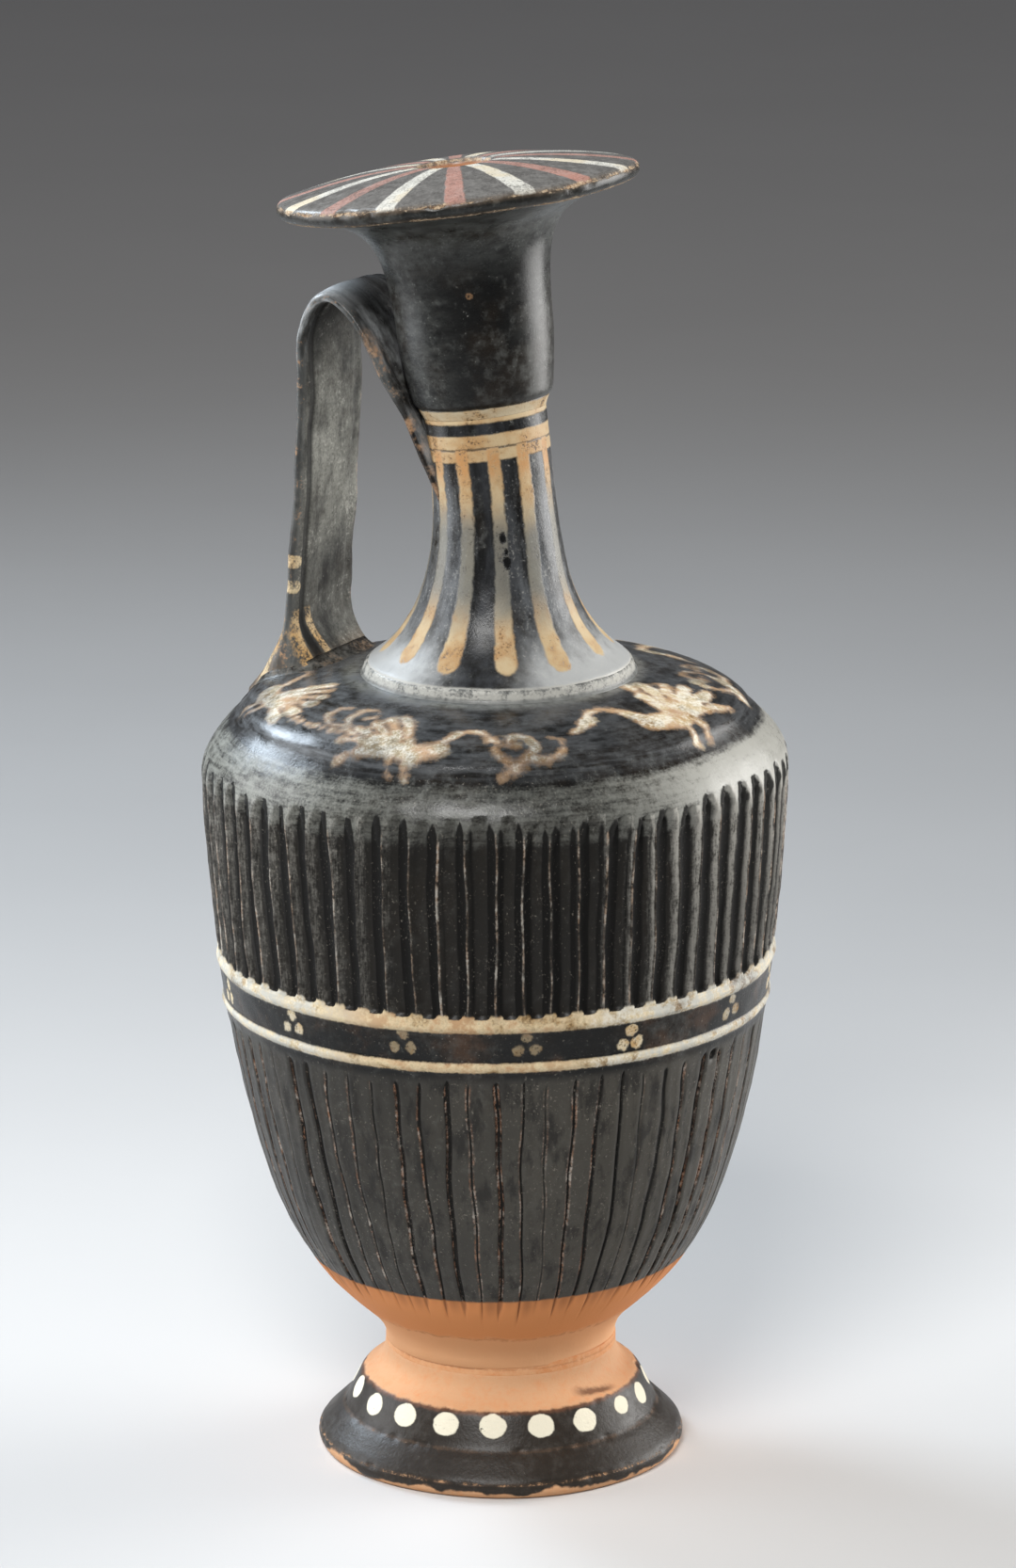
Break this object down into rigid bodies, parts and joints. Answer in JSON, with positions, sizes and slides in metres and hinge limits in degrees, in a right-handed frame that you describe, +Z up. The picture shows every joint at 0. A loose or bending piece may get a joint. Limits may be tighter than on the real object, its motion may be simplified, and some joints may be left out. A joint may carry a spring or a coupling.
{
  "type": "shoulder lekythos",
  "caption": "Ribbed black-gloss oil flask with a stepped foot, rounded shoulder, slim leaning neck, wide disc lip and one strap handle.",
  "frame": {"origin": "centre of the foot on the surface that it stands on", "axes": "+Z up along the vessel, -Y towards the painted front, handle at the back left"},
  "size_m": [0.0954, 0.0952, 0.216],
  "materials": {
    "foot_gloss": "black gloss over orange clay, with cream dots, worn at the edges",
    "body_gloss": "black gloss, ribbed, with cream and ochre painting, bare orange clay below",
    "neck_gloss": "black gloss with cream and ochre tongues and bands",
    "mouth_gloss": "black gloss with red and white rays on the lip",
    "handle_gloss": "worn black gloss with cream dots",
    "luting_slip": "matt fired clay slip"
  },
  "bodies": {
    "root": {"foot": "foot_gloss", "foot_luting_slip": "luting_slip", "body": "body_gloss", "neck_luting_slip": "luting_slip", "neck": "neck_gloss", "mouth_luting_slip": "luting_slip", "mouth": "mouth_gloss", "handle": "handle_gloss", "handle_upper_luting_slip": "luting_slip", "handle_lower_luting_slip": "luting_slip"}
  },
  "joints": []
}
